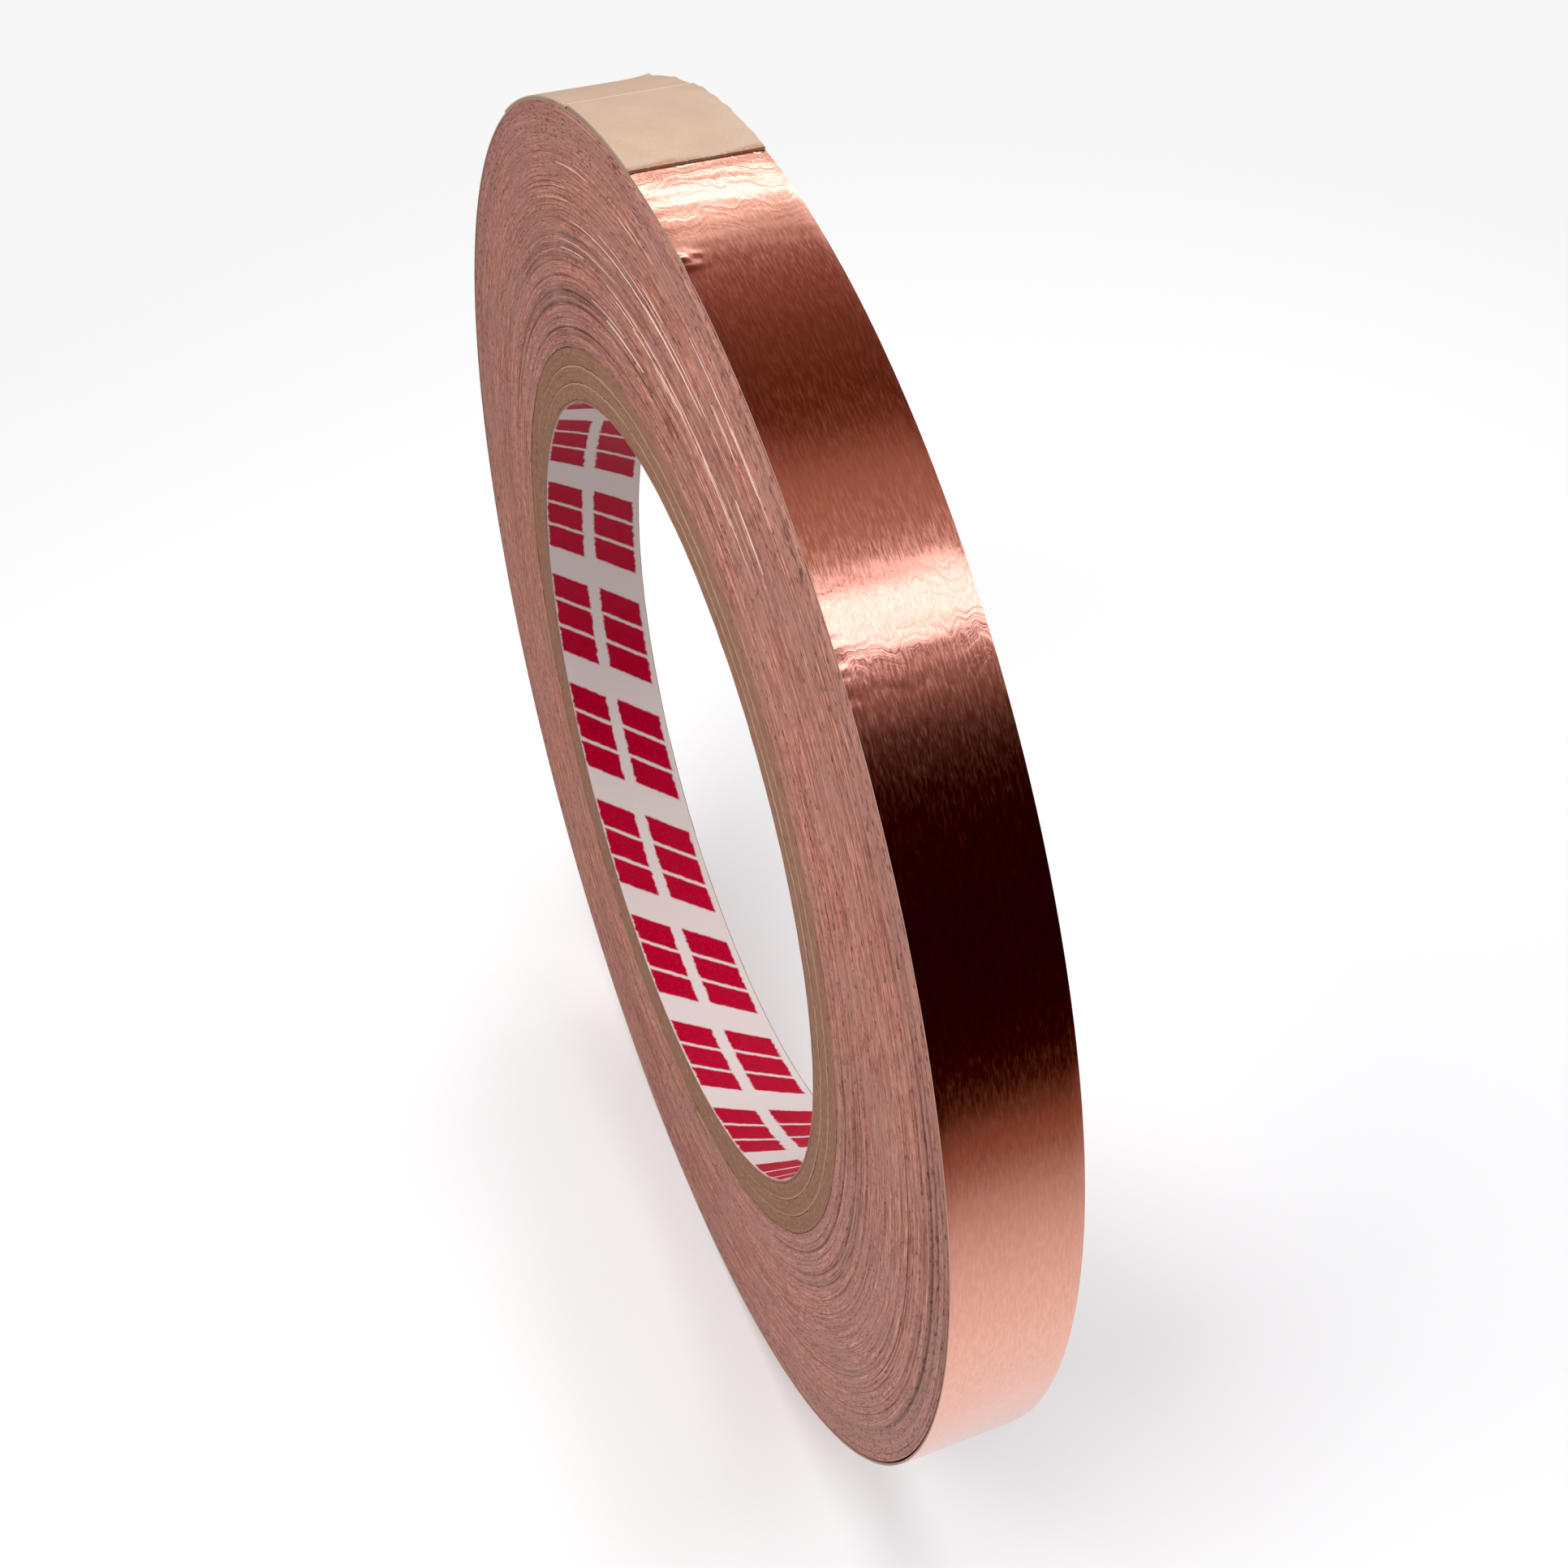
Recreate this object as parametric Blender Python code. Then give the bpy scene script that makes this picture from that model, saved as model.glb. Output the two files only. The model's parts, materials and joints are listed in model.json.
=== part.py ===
"""Copper foil tape roll: a narrow roll of adhesive copper foil wound on a card core.

The roll stands on its rim.  Its axis runs along Y, the origin is on the surface that it stands
on, and the free end of the tape lies over the top, held down by a paper tab.
Metres, +Z up.
"""

import math

import bmesh
import bpy
from mathutils import Vector

MM = 0.001

# Card core
BORE_DIAMETER = 76.2 * MM
PRINTED_LINER = 0.2 * MM
PLY = 1.55 * MM
PLY_NAMES = ("core_ply_inner", "core_ply_middle", "core_ply_outer")
CORE_GAP = 0.05 * MM
CORE_RECESS = 0.1 * MM

# Tape: three layers, foil outermost
TAPE_WIDTH = 10.6 * MM
TAPE_LENGTH = 33.0
FOIL = 0.035 * MM
ADHESIVE = 0.035 * MM
RELEASE_PAPER = 0.103 * MM
LAYER_GAP = 0.015 * MM

# Free end of the tape, and the tab over it
END_LENGTH = 29.6 * MM
HINGE_GAP = 0.3 * MM
TAB_LAP = 16.0 * MM
TAB_TAIL = 23.8 * MM
TAB_BRIDGE = 1.4 * MM
TAB_PAPER = 0.11 * MM
TAB_ADHESIVE = 0.03 * MM

# Facets round the roll, and the one that the roll stands on, counted from the end's hinge
FACETS = 81
BASE_FACET = 37

TURN = 2 * math.pi
STEP = TURN / FACETS
PITCH = FOIL + ADHESIVE + RELEASE_PAPER + 3 * LAYER_GAP
BORE_RADIUS = BORE_DIAMETER / 2
CORE_RADIUS = BORE_RADIUS + PRINTED_LINER + len(PLY_NAMES) * (PLY + CORE_GAP)
CORE_WIDTH = TAPE_WIDTH - 2 * CORE_RECESS
PACK_RADIUS = CORE_RADIUS + CORE_GAP
FOIL_RADIUS = math.sqrt(PACK_RADIUS ** 2 + TAPE_LENGTH * PITCH / math.pi)
# The last turn comes closer to the axis along its length, so the roll leans a little to lie level
BASE_RADIUS = FOIL_RADIUS - PITCH * (BASE_FACET + 0.5) / FACETS
BASE_LEAN = math.atan(PITCH / FACETS / (2 * BASE_RADIUS * math.tan(STEP / 2)))
HINGE_ANGLE = math.pi - (BASE_FACET + 0.5) * STEP - BASE_LEAN
# The tab turns about the edge of its outer face, so it clears the free end as it is peeled
TAB_TOP = LAYER_GAP + TAB_ADHESIVE + LAYER_GAP + TAB_PAPER


def facets(length):
    """The number of facets that a length along the outside of the roll covers."""
    return length / (FOIL_RADIUS * STEP)


# Places along the roll, in facets from the end's hinge
END_PLACE = -facets(END_LENGTH)
TAB_PLACE = END_PLACE + facets(TAB_LAP)
TAIL_PLACE = END_PLACE - facets(TAB_TAIL)


def coil_radius(depth, place):
    """Radius of a layer of the last turn, `depth` under the foil's face, `place` facets from the hinge."""
    return FOIL_RADIUS - depth - PITCH * place / FACETS


def corner(radius, place):
    """A corner of the faceted roll, as (x, z) from its axis."""
    angle = HINGE_ANGLE + place * STEP
    return Vector((radius * math.sin(angle), radius * math.cos(angle)))


def arc(radius_at, first, last):
    """Points along the roll between two places, which may lie part of the way along a facet."""
    def point(place):
        low = math.floor(place)
        start = corner(radius_at(low), low)
        end = corner(radius_at(low + 1), low + 1)
        return start.lerp(end, place - low)

    whole = range(math.floor(first) + 1, math.ceil(last))
    return [point(first)] + [corner(radius_at(place), place) for place in whole] + [point(last)]


def finish(name, colour, roughness, metallic):
    """A plain material for one piece."""
    material = bpy.data.materials.new(name)
    material.use_nodes = True
    shader = material.node_tree.nodes["Principled BSDF"]
    shader.inputs["Base Color"].default_value = (*colour, 1.0)
    shader.inputs["Roughness"].default_value = roughness
    shader.inputs["Metallic"].default_value = metallic
    return material


def empty(name, x, z, parent=None):
    """An empty on a turning axis, which runs along Y."""
    holder = bpy.data.objects.new(name, None)
    holder.empty_display_size = TAPE_WIDTH
    holder.location = (x, 0.0, z)
    holder.parent = parent
    bpy.context.collection.objects.link(holder)
    return holder


def band(name, outer, inner, width, holder, axis, material, closed=False):
    """A wall between two chains of points, as wide as the tape, centred on the roll's middle."""
    bm = bmesh.new()
    rails = []
    for chain in (outer, inner):
        verts = [bm.verts.new((p.x - axis.x, -width / 2, p.y - axis.y)) for p in chain]
        following = verts[1:] + verts[:1] if closed else verts[1:]
        rails += [bm.edges.new(pair) for pair in zip(verts, following)]
    side = bmesh.ops.bridge_loops(bm, edges=rails)["faces"]
    raised = bmesh.ops.extrude_face_region(bm, geom=side)["geom"]
    corners = [item for item in raised if isinstance(item, bmesh.types.BMVert)]
    bmesh.ops.translate(bm, verts=corners, vec=(0.0, width, 0.0))
    bmesh.ops.recalc_face_normals(bm, faces=bm.faces)
    mesh = bpy.data.meshes.new(name)
    bm.to_mesh(mesh)
    bm.free()
    mesh.shade_smooth()
    mesh.set_sharp_from_angle(angle=math.radians(30))
    mesh.materials.append(material)
    piece = bpy.data.objects.new(name, mesh)
    piece.parent = holder
    bpy.context.collection.objects.link(piece)
    return piece


def ring(name, outer_radius, inner_radius, width, holder, material):
    """A whole ring about the roll's axis."""
    loops = []
    for radius in (outer_radius, inner_radius):
        loops.append([corner(radius, place) for place in range(FACETS)])
    return band(name, *loops, width, holder, Vector((0.0, 0.0)), material, closed=True)


def build_core(holder):
    """The card core: three plies of kraft card, with a printed paper liner in its bore."""
    paper = finish("printed_paper", (0.76, 0.72, 0.70), 0.75, 0.0)
    kraft = finish("kraft_card", (0.26, 0.13, 0.08), 0.9, 0.0)
    face = BORE_RADIUS + PRINTED_LINER
    ring("core_liner", face, BORE_RADIUS, CORE_WIDTH, holder, paper)
    for name in PLY_NAMES:
        ring(name, face + CORE_GAP + PLY, face + CORE_GAP, CORE_WIDTH, holder, kraft)
        face += CORE_GAP + PLY


def tape_layers():
    """The tape's layers from the outside in: name, depth of the outer face, thickness, material."""
    copper = finish("copper_foil", (0.90, 0.52, 0.40), 0.22, 1.0)
    glue = finish("acrylic_adhesive", (0.55, 0.38, 0.30), 0.4, 0.0)
    paper = finish("release_paper", (0.42, 0.24, 0.20), 0.85, 0.0)
    depth = 0.0
    for name, thickness, material in (
        ("foil", FOIL, copper),
        ("adhesive", ADHESIVE, glue),
        ("release_paper", RELEASE_PAPER, paper),
    ):
        yield name, depth, thickness, material
        depth += thickness + LAYER_GAP


def build_tape(roll, end_hinge, hinge):
    """The wound turns, the last turn in its three layers, and the free end that lifts off it."""
    wound = finish("wound_tape", (0.42, 0.22, 0.17), 0.7, 0.0)
    under_last_turn = coil_radius(PITCH, FACETS)
    ring("wound_turns", under_last_turn, PACK_RADIUS, TAPE_WIDTH, roll, wound)
    cut = facets(HINGE_GAP / 2)
    for name, depth, thickness, material in tape_layers():
        def outside(place):
            return coil_radius(depth, place)

        def inside(place):
            return coil_radius(depth + thickness, place)

        last_turn = [arc(face, cut, FACETS) for face in (outside, inside)]
        band("last_turn_" + name, *last_turn, TAPE_WIDTH, roll, Vector((0.0, 0.0)), material)
        free_end = [arc(face, END_PLACE, -cut) for face in (outside, inside)]
        band("tape_end_" + name, *free_end, TAPE_WIDTH, end_hinge, hinge, material)


def tab_face(height):
    """A face of the tab, `height` above the foil: it laps over the free end and steps down past it."""
    step_down = END_PLACE - facets(TAB_BRIDGE)
    past = arc(lambda place: coil_radius(PITCH - height, place), TAIL_PLACE, step_down)
    over = arc(lambda place: coil_radius(-height, place), END_PLACE, TAB_PLACE)
    return past + over


def build_tab(holder, axis):
    """The paper tab, which holds the free end to the turn below."""
    paper = finish("tab_paper", (0.68, 0.50, 0.36), 0.45, 0.0)
    glue = finish("tab_adhesive", (0.60, 0.45, 0.30), 0.5, 0.0)
    layers = (("tab_adhesive", TAB_ADHESIVE, glue), ("tab_paper", TAB_PAPER, paper))
    height = LAYER_GAP
    for name, thickness, material in layers:
        faces = [tab_face(height + thickness), tab_face(height)]
        band(name, *faces, TAPE_WIDTH, holder, axis, material)
        height += thickness + LAYER_GAP


def main():
    """Clear the scene and build the roll."""
    for old in list(bpy.data.objects):
        bpy.data.objects.remove(old, do_unlink=True)
    lowest = min(p.y for p in arc(lambda place: coil_radius(0.0, place), 0, FACETS))
    roll = empty("roll_axis", 0.0, -lowest)
    hinge = corner(FOIL_RADIUS, 0)
    end_hinge = empty("tape_end_axis", hinge.x, hinge.y, roll)
    tab_edge = tab_face(TAB_TOP)[-1]
    tab_hinge = empty("end_tab_axis", tab_edge.x - hinge.x, tab_edge.y - hinge.y, end_hinge)
    build_core(roll)
    build_tape(roll, end_hinge, hinge)
    build_tab(tab_hinge, tab_edge)


main()
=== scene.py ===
"""Copper foil tape roll: the finished surfaces and the stage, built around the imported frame.

The roll stands on its rim with its axis along Y.  Angles go round it from the top towards +X,
which is the way that the last turn runs from the free end.  Metres, +Z up.
"""

import json
import math
import random
from functools import partial

import bmesh
import bpy
from bpy.props import FloatProperty, FloatVectorProperty, IntProperty, PointerProperty
from mathutils import Matrix, Vector, noise


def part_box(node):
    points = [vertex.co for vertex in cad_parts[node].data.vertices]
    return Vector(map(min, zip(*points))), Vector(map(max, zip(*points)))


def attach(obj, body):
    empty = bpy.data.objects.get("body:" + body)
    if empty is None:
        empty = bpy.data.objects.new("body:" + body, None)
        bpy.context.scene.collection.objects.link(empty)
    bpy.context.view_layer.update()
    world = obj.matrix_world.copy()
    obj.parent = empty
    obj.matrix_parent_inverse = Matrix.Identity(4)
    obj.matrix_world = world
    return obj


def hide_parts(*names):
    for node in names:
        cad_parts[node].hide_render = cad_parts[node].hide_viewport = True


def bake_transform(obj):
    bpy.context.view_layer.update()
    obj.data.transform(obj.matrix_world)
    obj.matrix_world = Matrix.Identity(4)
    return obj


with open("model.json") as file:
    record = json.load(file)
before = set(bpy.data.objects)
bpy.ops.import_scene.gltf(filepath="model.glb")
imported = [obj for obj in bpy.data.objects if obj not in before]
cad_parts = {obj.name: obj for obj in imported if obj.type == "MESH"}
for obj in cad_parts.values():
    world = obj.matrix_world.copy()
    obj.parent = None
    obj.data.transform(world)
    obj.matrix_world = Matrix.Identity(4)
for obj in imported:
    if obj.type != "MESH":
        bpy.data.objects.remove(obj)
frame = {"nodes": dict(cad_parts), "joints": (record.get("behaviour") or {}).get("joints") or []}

bl_info = {
    "name": "Copper Foil Tape Roll",
    "version": (1, 0, 0),
    "blender": (4, 5, 0),
    "location": "3D View > Sidebar > Foil Roll",
    "description": "Builds the visible pieces of a roll of adhesive copper foil and a plain studio",
    "category": "Add Mesh",
}

MM = 0.001
TURN = 2 * math.pi
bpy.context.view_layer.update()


# ---------------------------------------------------------------- sizes read from the frame

def corners_of(node):
    """The different corners of a CAD node."""
    return {tuple(round(c, 7) for c in v.co) for v in frame["nodes"][node].data.vertices}


def centre_of(node):
    """The middle of a ring-shaped node, seen along Y."""
    points = corners_of(node)
    return Vector((
        sum(p[0] for p in points) / len(points), 0.0, sum(p[2] for p in points) / len(points)))


AXIS = centre_of("core_liner")


def angle_of(point):
    """Angle round the roll, from the top towards +X."""
    return math.atan2(point[0] - AXIS.x, point[2] - AXIS.z)


def radius_of(point):
    """Distance from the roll's axis."""
    return math.hypot(point[0] - AXIS.x, point[2] - AXIS.z)


def place(angle, radius, y):
    """A point of the roll."""
    return Vector((AXIS.x + radius * math.sin(angle), y, AXIS.z + radius * math.cos(angle)))


def shell(node, first=-math.pi):
    """Inner and outer radius of a node, on its corners past an angle."""
    radii = [radius_of(p) for p in corners_of(node) if angle_of(p) > first]
    return min(radii), max(radii)


def reach(node):
    """First and last angle of a node that doesn't go all the way round."""
    angles = [angle_of(p) for p in corners_of(node)]
    return min(angles), max(angles)


def half_width(node):
    """Half of a node's width along the roll's axis."""
    low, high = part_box(node)
    return (high.y - low.y) / 2


HINGES = {joint["name"]: Vector(joint["pos_m"]) for joint in frame["joints"]}
LIFT_ANGLE = angle_of(HINGES["tape_end_lift"])
PEEL_ANGLE = angle_of(HINGES["tab_peel"])
END_ANGLE = reach("tape_end_foil")[0]
TAIL_ANGLE = reach("tab_paper")[0]
FOIL_RADIUS = radius_of(HINGES["tape_end_lift"])
PACK_INNER, PACK_OUTER = shell("wound_turns")
PITCH = (FOIL_RADIUS - PACK_OUTER) / 2
HALF = half_width("wound_turns")


def foil_face(angle):
    """Radius of the outer face of the tape's outermost layer, which winds in past the hinge."""
    return FOIL_RADIUS - PITCH * (angle - LIFT_ANGLE) / TURN


def layer(node, first, last):
    """Depth of a layer's outer face under the foil's face, and its thickness."""
    inner, outer = shell(node, first - 0.001)
    return foil_face(first) - outer, outer - inner - PITCH * (last - first) / TURN


# ---------------------------------------------------------------- settings

def colour(name, description, default):
    """A colour setting."""
    return FloatVectorProperty(
        name=name, description=description, default=default, subtype="COLOR", min=0.0, max=1.0)


def length(name, description, default):
    """A length setting."""
    return FloatProperty(name=name, description=description, default=default, unit="LENGTH", min=0.0)


class RollSettings(bpy.types.PropertyGroup):
    """Sizes and colours of the roll's finish."""

    copper: colour("Copper", "Colour of the rolled copper", (0.82, 0.42, 0.32))
    wrinkle: length("Wrinkle Height", "Height of the foil's cross wrinkles", 0.025 * MM)
    edge_curl: length("Edge Curl", "How far the foil's slit edges turn down", 0.045 * MM)
    slit_edge: colour("Slit Edge", "Colour of the slit edges of the wound tape", (0.448, 0.193, 0.148))
    slit_scatter: length("Slit Scatter", "How far the turns stand proud of each other", 0.035 * MM)
    kraft: colour("Kraft", "Colour of the core's cut card", (0.262, 0.130, 0.083))
    liner: colour("Liner Paper", "Colour of the liner in the bore", (0.60, 0.525, 0.515))
    ink: colour("Ink", "Colour of the print on the liner", (0.40, 0.0, 0.022))
    print_repeats: IntProperty(
        name="Print Repeats", description="Groups of bars round the liner", default=17, min=1)
    tab: colour("Tab Paper", "Colour of the tab", (0.435, 0.290, 0.198))


class StageSettings(bpy.types.PropertyGroup):
    """The plain studio round the roll."""

    azimuth: FloatProperty(
        name="Azimuth", description="Side that the camera looks from, turned from the front",
        default=math.radians(68.38), subtype="ANGLE")
    elevation: FloatProperty(
        name="Elevation", description="How steeply the camera looks down",
        default=math.radians(44.0), subtype="ANGLE")
    distance: length("Distance", "From the camera to the point it looks at", 0.1597)
    lens: FloatProperty(
        name="Lens", description="Focal length on a 36 mm wide sensor", default=43.3, min=1.0)
    floor: colour("Floor", "Colour of the floor", (0.86, 0.86, 0.86))


# ---------------------------------------------------------------- materials

class Value:
    """A number in a material, which takes part in sums."""

    def __init__(self, finish, socket):
        self.finish = finish
        self.socket = socket

    def _sum(self, operation, first, second):
        return self.finish.maths(operation, first, second)

    def __add__(self, other):
        return self._sum("ADD", self, other)

    __radd__ = __add__

    def __sub__(self, other):
        return self._sum("SUBTRACT", self, other)

    def __rsub__(self, other):
        return self._sum("SUBTRACT", other, self)

    def __mul__(self, other):
        return self._sum("MULTIPLY", self, other)

    __rmul__ = __mul__

    def __truediv__(self, other):
        return self._sum("DIVIDE", self, other)

    def __rtruediv__(self, other):
        return self._sum("DIVIDE", other, self)


class Finish:
    """A procedural material."""

    def __init__(self, name, tree=None):
        self.material = None
        if tree is None:
            self.material = bpy.data.materials.new(name)
            self.material.use_nodes = True
            tree = self.material.node_tree
        self.tree = tree
        self.shader = tree.nodes.get("Principled BSDF")

    def add(self, kind, settings=None, inputs=None, output=0):
        """A node of any kind: its settings, then the values or links of its sockets."""
        node = self.tree.nodes.new("ShaderNode" + kind)
        for name, value in (settings or {}).items():
            if name == "stops":
                self.set_stops(node.color_ramp, value)
            else:
                setattr(node, name, value)
        for name, value in (inputs or {}).items():
            self.feed(node.inputs[name], value)
        return Value(self, node.outputs[output])

    @staticmethod
    def set_stops(ramp, stops):
        """Positions and colours of a ramp."""
        while len(ramp.elements) < len(stops):
            ramp.elements.new(0.5)
        for element, (position, tone) in zip(ramp.elements, stops):
            element.position = position
            element.color = (*tone, 1.0)

    def feed(self, socket, value):
        """Links a socket or gives it a constant."""
        if isinstance(value, Value):
            self.tree.links.new(value.socket, socket)
        elif isinstance(value, (int, float)) or socket.type == "VECTOR":
            socket.default_value = value
        else:
            socket.default_value = (*value, 1.0)

    def maths(self, operation, *values):
        """A Math node."""
        return self.add("Math", {"operation": operation}, dict(enumerate(values)))

    def step(self, value, low, high):
        """Rises smoothly from 0 at one value to 1 at another."""
        settings = {"interpolation_type": "SMOOTHSTEP"}
        return self.add("MapRange", settings, {0: value, 1: low, 2: high})

    def between(self, value, low, high, soft):
        """1 between two values and 0 outside them."""
        return self.step(value, low - soft, low + soft) * (1 - self.step(value, high - soft, high + soft))

    def vector(self, x, y, z):
        """A vector from three values."""
        return self.add("CombineXYZ", None, {0: x, 1: y, 2: z})

    def noise(self, vector, scale, detail=2.0, roughness=0.5):
        """Soft noise between 0 and 1."""
        inputs = {"Vector": vector, "Scale": scale, "Detail": detail, "Roughness": roughness}
        return self.add("TexNoise", None, inputs)

    def mix(self, factor, first, second):
        """A colour between two colours."""
        settings = {"data_type": "RGBA", "clamp_factor": True}
        return self.add("Mix", settings, {0: factor, 6: first, 7: second}, output=2)

    def round_coordinates(self):
        """Direction x and z from the roll's axis, the radius, and y, from Object coordinates."""
        where = self.add("TexCoord", output=3)
        split = self.add("SeparateXYZ", None, {0: where}).socket.node
        x, y, z = (Value(self, split.outputs[i]) for i in range(3))
        x = x - AXIS.x
        z = z - AXIS.z
        radius = self.maths("SQRT", x * x + z * z)
        return x / radius, z / radius, radius, y

    def ringed(self, x, z, radius, middle, around, through, seed, detail=2.0, roughness=0.5):
        """Noise that is long round the roll: cells of `around` by `through` millimetres.

        x, z and radius are round coordinates, and the cells have their length at the middle radius.
        """
        turn = middle / MM / around
        vector = self.vector(x * turn, z * turn, radius * (1 / MM / through) + seed)
        return self.noise(vector, 1.0, detail, roughness)

    def strip_coordinates(self):
        """Distance along a strip of tape and across it, in millimetres, from its UV map."""
        where = self.add("UVMap", {"uv_map": "along"})
        split = self.add("SeparateXYZ", None, {0: where}).socket.node
        return Value(self, split.outputs[0]), Value(self, split.outputs[1])

    def grain(self, along, across, rates, seed, detail=2.0, roughness=0.5):
        """Noise on a strip, with so many cells to the millimetre along it and across it."""
        vector = self.vector(along * rates[0], across * rates[1], seed)
        return self.noise(vector, 1.0, detail, roughness)

    def bump(self, height, distance, strength=1.0):
        """Fine relief."""
        self.feed(self.shader.inputs["Normal"], self.add(
            "Bump", None, {"Strength": strength, "Distance": distance, "Height": height}))

    def surface(self, base, roughness, metallic=0.0, **constants):
        """Feeds the shader, and returns the material."""
        self.feed(self.shader.inputs["Base Color"], base)
        self.feed(self.shader.inputs["Roughness"], roughness)
        self.shader.inputs["Metallic"].default_value = metallic
        for name, value in constants.items():
            self.shader.inputs[name.replace("_", " ")].default_value = value
        return self.material


def shade(tone, *shares):
    """A colour with its channels scaled, by one share for all or by one for each."""
    return tuple(min(1.0, c * share) for c, share in zip(tone, shares if len(shares) == 3 else shares * 3))


# Where the foil was handled, in millimetres round the roll from its top
WRINKLES_FADE = (6.0, 12.5)
BENT_STRETCH = (40.5, 47.0)


def copper_finish(settings):
    """Bright rolled copper: streaks along the tape, and wrinkle lines across it where it was handled."""
    finish = Finish("rolled_copper")
    along, across = finish.strip_coordinates()
    streaks = finish.grain(along, across, (0.75, 5.0), 0.0, 3.0, 0.6)
    fine = finish.grain(along, across, (1.6, 11.0), 3.0, 2.0, 0.6)
    cloud = finish.grain(along, across, (0.08, 0.25), 7.0)
    mottle = finish.grain(along, across, (0.9, 1.6), 11.0, 3.0)
    copper = tuple(settings.copper)
    deep = shade(copper, 0.90, 0.84, 0.80)
    tone = finish.mix(finish.step(streaks + (mottle - 0.5) * 0.4, 0.35, 0.7), deep, copper)
    rubbed = finish.step(streaks * 0.5 + fine * 0.5, 0.34, 0.70)
    rough = 0.08 + rubbed * 0.17 + cloud * 0.03
    bow = finish.grain(along, across, (0.15, 0.35), 17.0, 1.0) * 5.0
    bow = bow + finish.grain(along, across, (0.5, 1.6), 19.0, 1.0) * 1.1
    lines = finish.grain(along + bow, across, (1.5, 0.08), 23.0)
    near_tab = 1 - finish.step(along, *WRINKLES_FADE)
    near_bend = finish.between(along, *BENT_STRETCH, 2.5)
    handled = near_tab + near_bend * 0.55 + 0.03
    relief = lines * handled * 0.032 + (streaks * 0.5 + fine * 0.3 + mottle * 0.5) * 0.0004
    finish.bump(relief, MM)
    return finish.surface(tone, rough, metallic=1.0)


def slit_finish(settings):
    """The slit edges of the wound tape: rings of paper and copper with fibres and dark flecks, and painted
    shade in the gaps between turns and on the sunken turns.
    """
    finish = Finish("slit_tape_edges")
    x, z, radius, y = finish.round_coordinates()
    ringed = partial(finish.ringed, x, z, radius, (PACK_INNER + FOIL_RADIUS) / 2)
    rings = ringed(5.0, 0.14, 0.0, 2.0, 0.7)
    fibres = ringed(1.1, 0.20, 31.0, 3.0, 0.65)
    flecks = ringed(0.75, 0.16, 57.0, 1.0)
    patches = ringed(7.0, 5.0, 91.0)
    glints = ringed(5.0, 0.10, 13.0, 1.0)
    edge = tuple(settings.slit_edge)
    pale = shade(edge, 1.36, 1.38, 1.38)
    dark = shade(edge, 0.52, 0.42, 0.38)
    grey = shade(edge, 0.80, 0.92, 0.96)
    tone = finish.mix(finish.step(rings * 0.5 + fibres * 0.5, 0.34, 0.66), dark, pale)
    # Painted shade: dark lines round the roll where the gaps between turns would fall into shade
    shaded_gaps = finish.step(ringed(12.0, 0.17, 71.0, 1.0), 0.57, 0.67)
    tone = finish.mix(shaded_gaps * 0.42, tone, shade(edge, 0.4))
    # Painted shade: turns that sit sunk below the edge face are darkened, as if shade fell into the recess
    sunk_to, level_from = HALF - 0.20 * MM, HALF - 0.05 * MM
    level = finish.step(finish.maths("ABSOLUTE", y), sunk_to, level_from)
    tone = finish.mix(level, shade(dark, 0.35), tone)
    tone = finish.mix(finish.step(patches, 0.40, 0.68) * 0.55, tone, grey)
    rim = finish.step(radius, FOIL_RADIUS - 4.2 * MM, FOIL_RADIUS - 3.0 * MM)
    tone = finish.mix(rim * 0.5, tone, grey)
    fleck = finish.step(flecks + rim * 0.05, 0.62, 0.70)
    tone = finish.mix(fleck * 0.65, tone, (0.06, 0.018, 0.012))
    glint = finish.step(glints, 0.68, 0.76)
    tone = finish.mix(glint * 0.5, tone, tuple(settings.copper))
    finish.bump(rings * 0.5 + fibres * 0.7 - flecks * 0.4 - shaded_gaps * 0.3, 0.09 * MM, 0.8)
    return finish.surface(tone, 0.62 - glint * 0.25, Specular_IOR_Level=0.2)


def kraft_finish(settings):
    """Cut kraft card: fibres round the core, and pale glue lines between the plies."""
    finish = Finish("cut_kraft_card")
    x, z, radius, _ = finish.round_coordinates()
    ringed = partial(finish.ringed, x, z, radius, PACK_INNER)
    plies = ringed(14.0, 0.28, 5.0, 3.0, 0.6)
    fibres = ringed(0.9, 0.22, 21.0, 3.0, 0.6)
    kraft = tuple(settings.kraft)
    pale = shade(kraft, 1.45, 1.5, 1.55)
    dark = shade(kraft, 0.5)
    tone = finish.mix(finish.step(plies * 0.3 + fibres * 0.7, 0.30, 0.68), dark, pale)
    tone = finish.mix(0.5, tone, kraft)
    for ply in ("inner", "middle"):
        joint = shell("core_ply_" + ply)[1] + (fibres - 0.5) * (0.5 * MM)
        glue = finish.between(radius, joint - 0.14 * MM, joint + 0.02 * MM, 0.05 * MM)
        tone = finish.mix(glue * 0.7, tone, (0.46, 0.30, 0.22))
    finish.bump(plies * 0.2 + fibres, 0.05 * MM, 0.8)
    return finish.surface(tone, 0.9, Specular_IOR_Level=0.15)


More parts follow.
